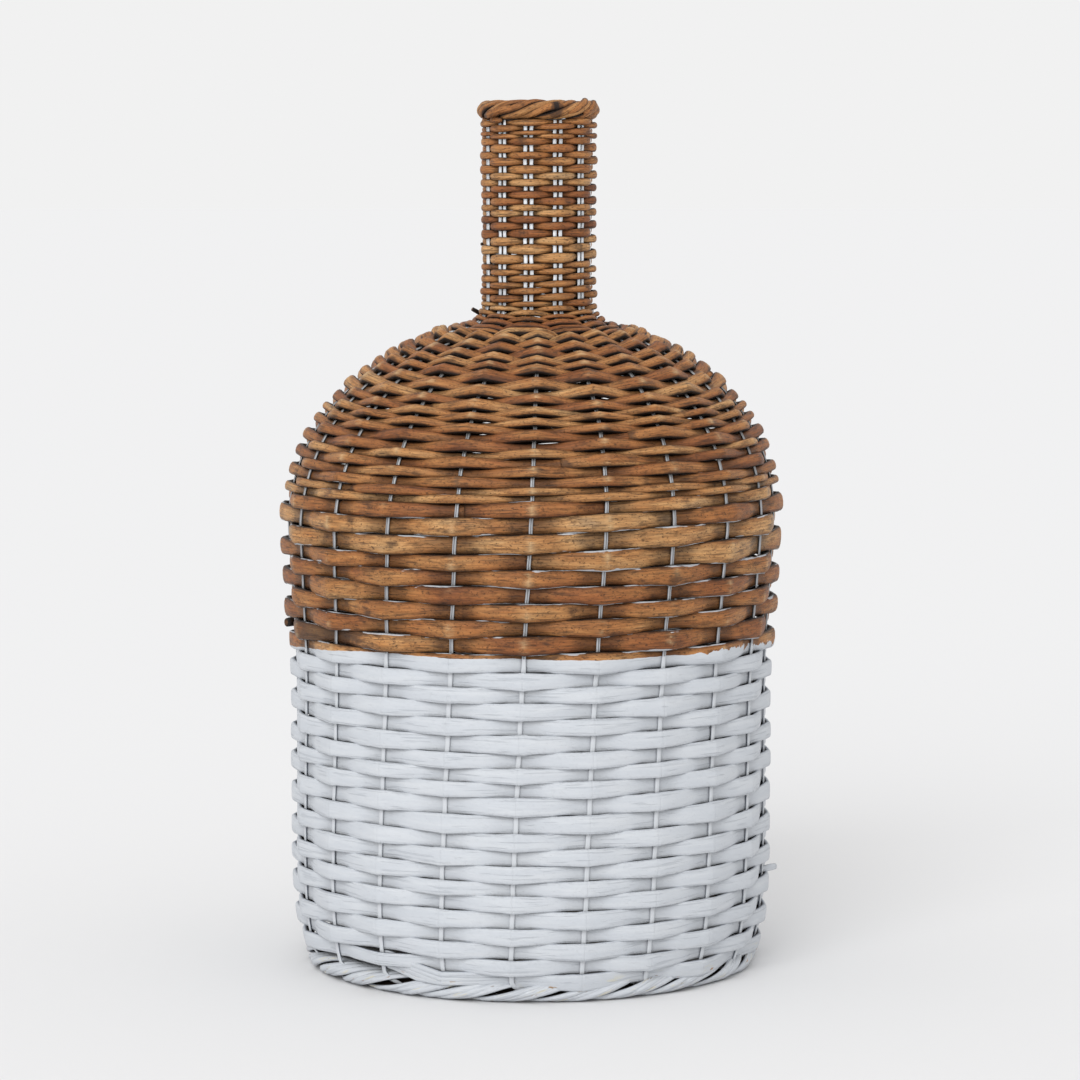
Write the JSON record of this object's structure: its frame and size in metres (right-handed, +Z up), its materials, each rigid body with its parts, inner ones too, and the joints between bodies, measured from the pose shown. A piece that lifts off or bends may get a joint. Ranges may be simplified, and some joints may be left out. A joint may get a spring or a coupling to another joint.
{
  "type": "wicker bottle vase",
  "caption": "Bottle-shaped vase of willow rods woven over steel wire stakes, with a tall narrow neck, a domed shoulder and a white-painted lower half.",
  "frame": {"origin": "middle of the resting plane under the foot border", "axes": "+Z up along the bottle, front towards -Y"},
  "size_m": [0.3015, 0.3013, 0.517],
  "materials": {
    "stake_wire": "bright drawn wire, painted white below the paint line",
    "white_willow": "thin matt white paint over willow",
    "foot_willow": "thin matt white paint over willow",
    "natural_willow": "bare willow with bark stains, white smears near the paint line",
    "shoulder_willow": "bare willow with bark stains",
    "neck_willow": "bare willow with bark stains",
    "rim_willow": "bare willow with dark knots",
    "base_willow": "willow with overspray of white paint"
  },
  "bodies": {
    "root": {"base_stick_1": "base_willow", "base_stick_2": "base_willow", "base_stick_3": "base_willow", "base_stick_4": "base_willow", "base_stick_5": "base_willow", "base_stick_6": "base_willow", "base_weaver_1": "base_willow", "base_weaver_2": "base_willow", "foot_strand_1": "foot_willow", "foot_strand_2": "foot_willow", "foot_strand_3": "foot_willow", "natural_weaver_01": "natural_willow", "natural_weaver_02": "natural_willow", "natural_weaver_03": "natural_willow", "natural_weaver_04": "natural_willow", "neck_weaver_01": "neck_willow", "neck_weaver_02": "neck_willow", "neck_weaver_03": "neck_willow", "neck_weaver_04": "neck_willow", "neck_weaver_05": "neck_willow", "neck_weaver_06": "neck_willow", "rim_strand_1": "rim_willow", "rim_strand_2": "rim_willow", "rim_strand_3": "rim_willow", "shoulder_weaver_01": "shoulder_willow", "shoulder_weaver_02": "shoulder_willow", "shoulder_weaver_03": "shoulder_willow", "shoulder_weaver_04": "shoulder_willow", "shoulder_weaver_05": "shoulder_willow", "shoulder_weaver_06": "shoulder_willow", "shoulder_weaver_07": "shoulder_willow", "stake_01": "stake_wire", "stake_02": "stake_wire", "stake_03": "stake_wire", "stake_04": "stake_wire", "stake_05": "stake_wire", "stake_06": "stake_wire", "stake_07": "stake_wire", "stake_08": "stake_wire", "stake_09": "stake_wire", "stake_10": "stake_wire", "stake_11": "stake_wire", "stake_12": "stake_wire", "stake_13": "stake_wire", "stake_14": "stake_wire", "stake_15": "stake_wire", "stake_16": "stake_wire", "stake_17": "stake_wire", "stake_18": "stake_wire", "stake_19": "stake_wire", "stake_20": "stake_wire", "stake_21": "stake_wire", "white_weaver_01": "white_willow", "white_weaver_02": "white_willow", "white_weaver_03": "white_willow", "white_weaver_04": "white_willow", "white_weaver_05": "white_willow", "white_weaver_06": "white_willow", "white_weaver_07": "white_willow", "white_weaver_08": "white_willow"}
  },
  "joints": []
}
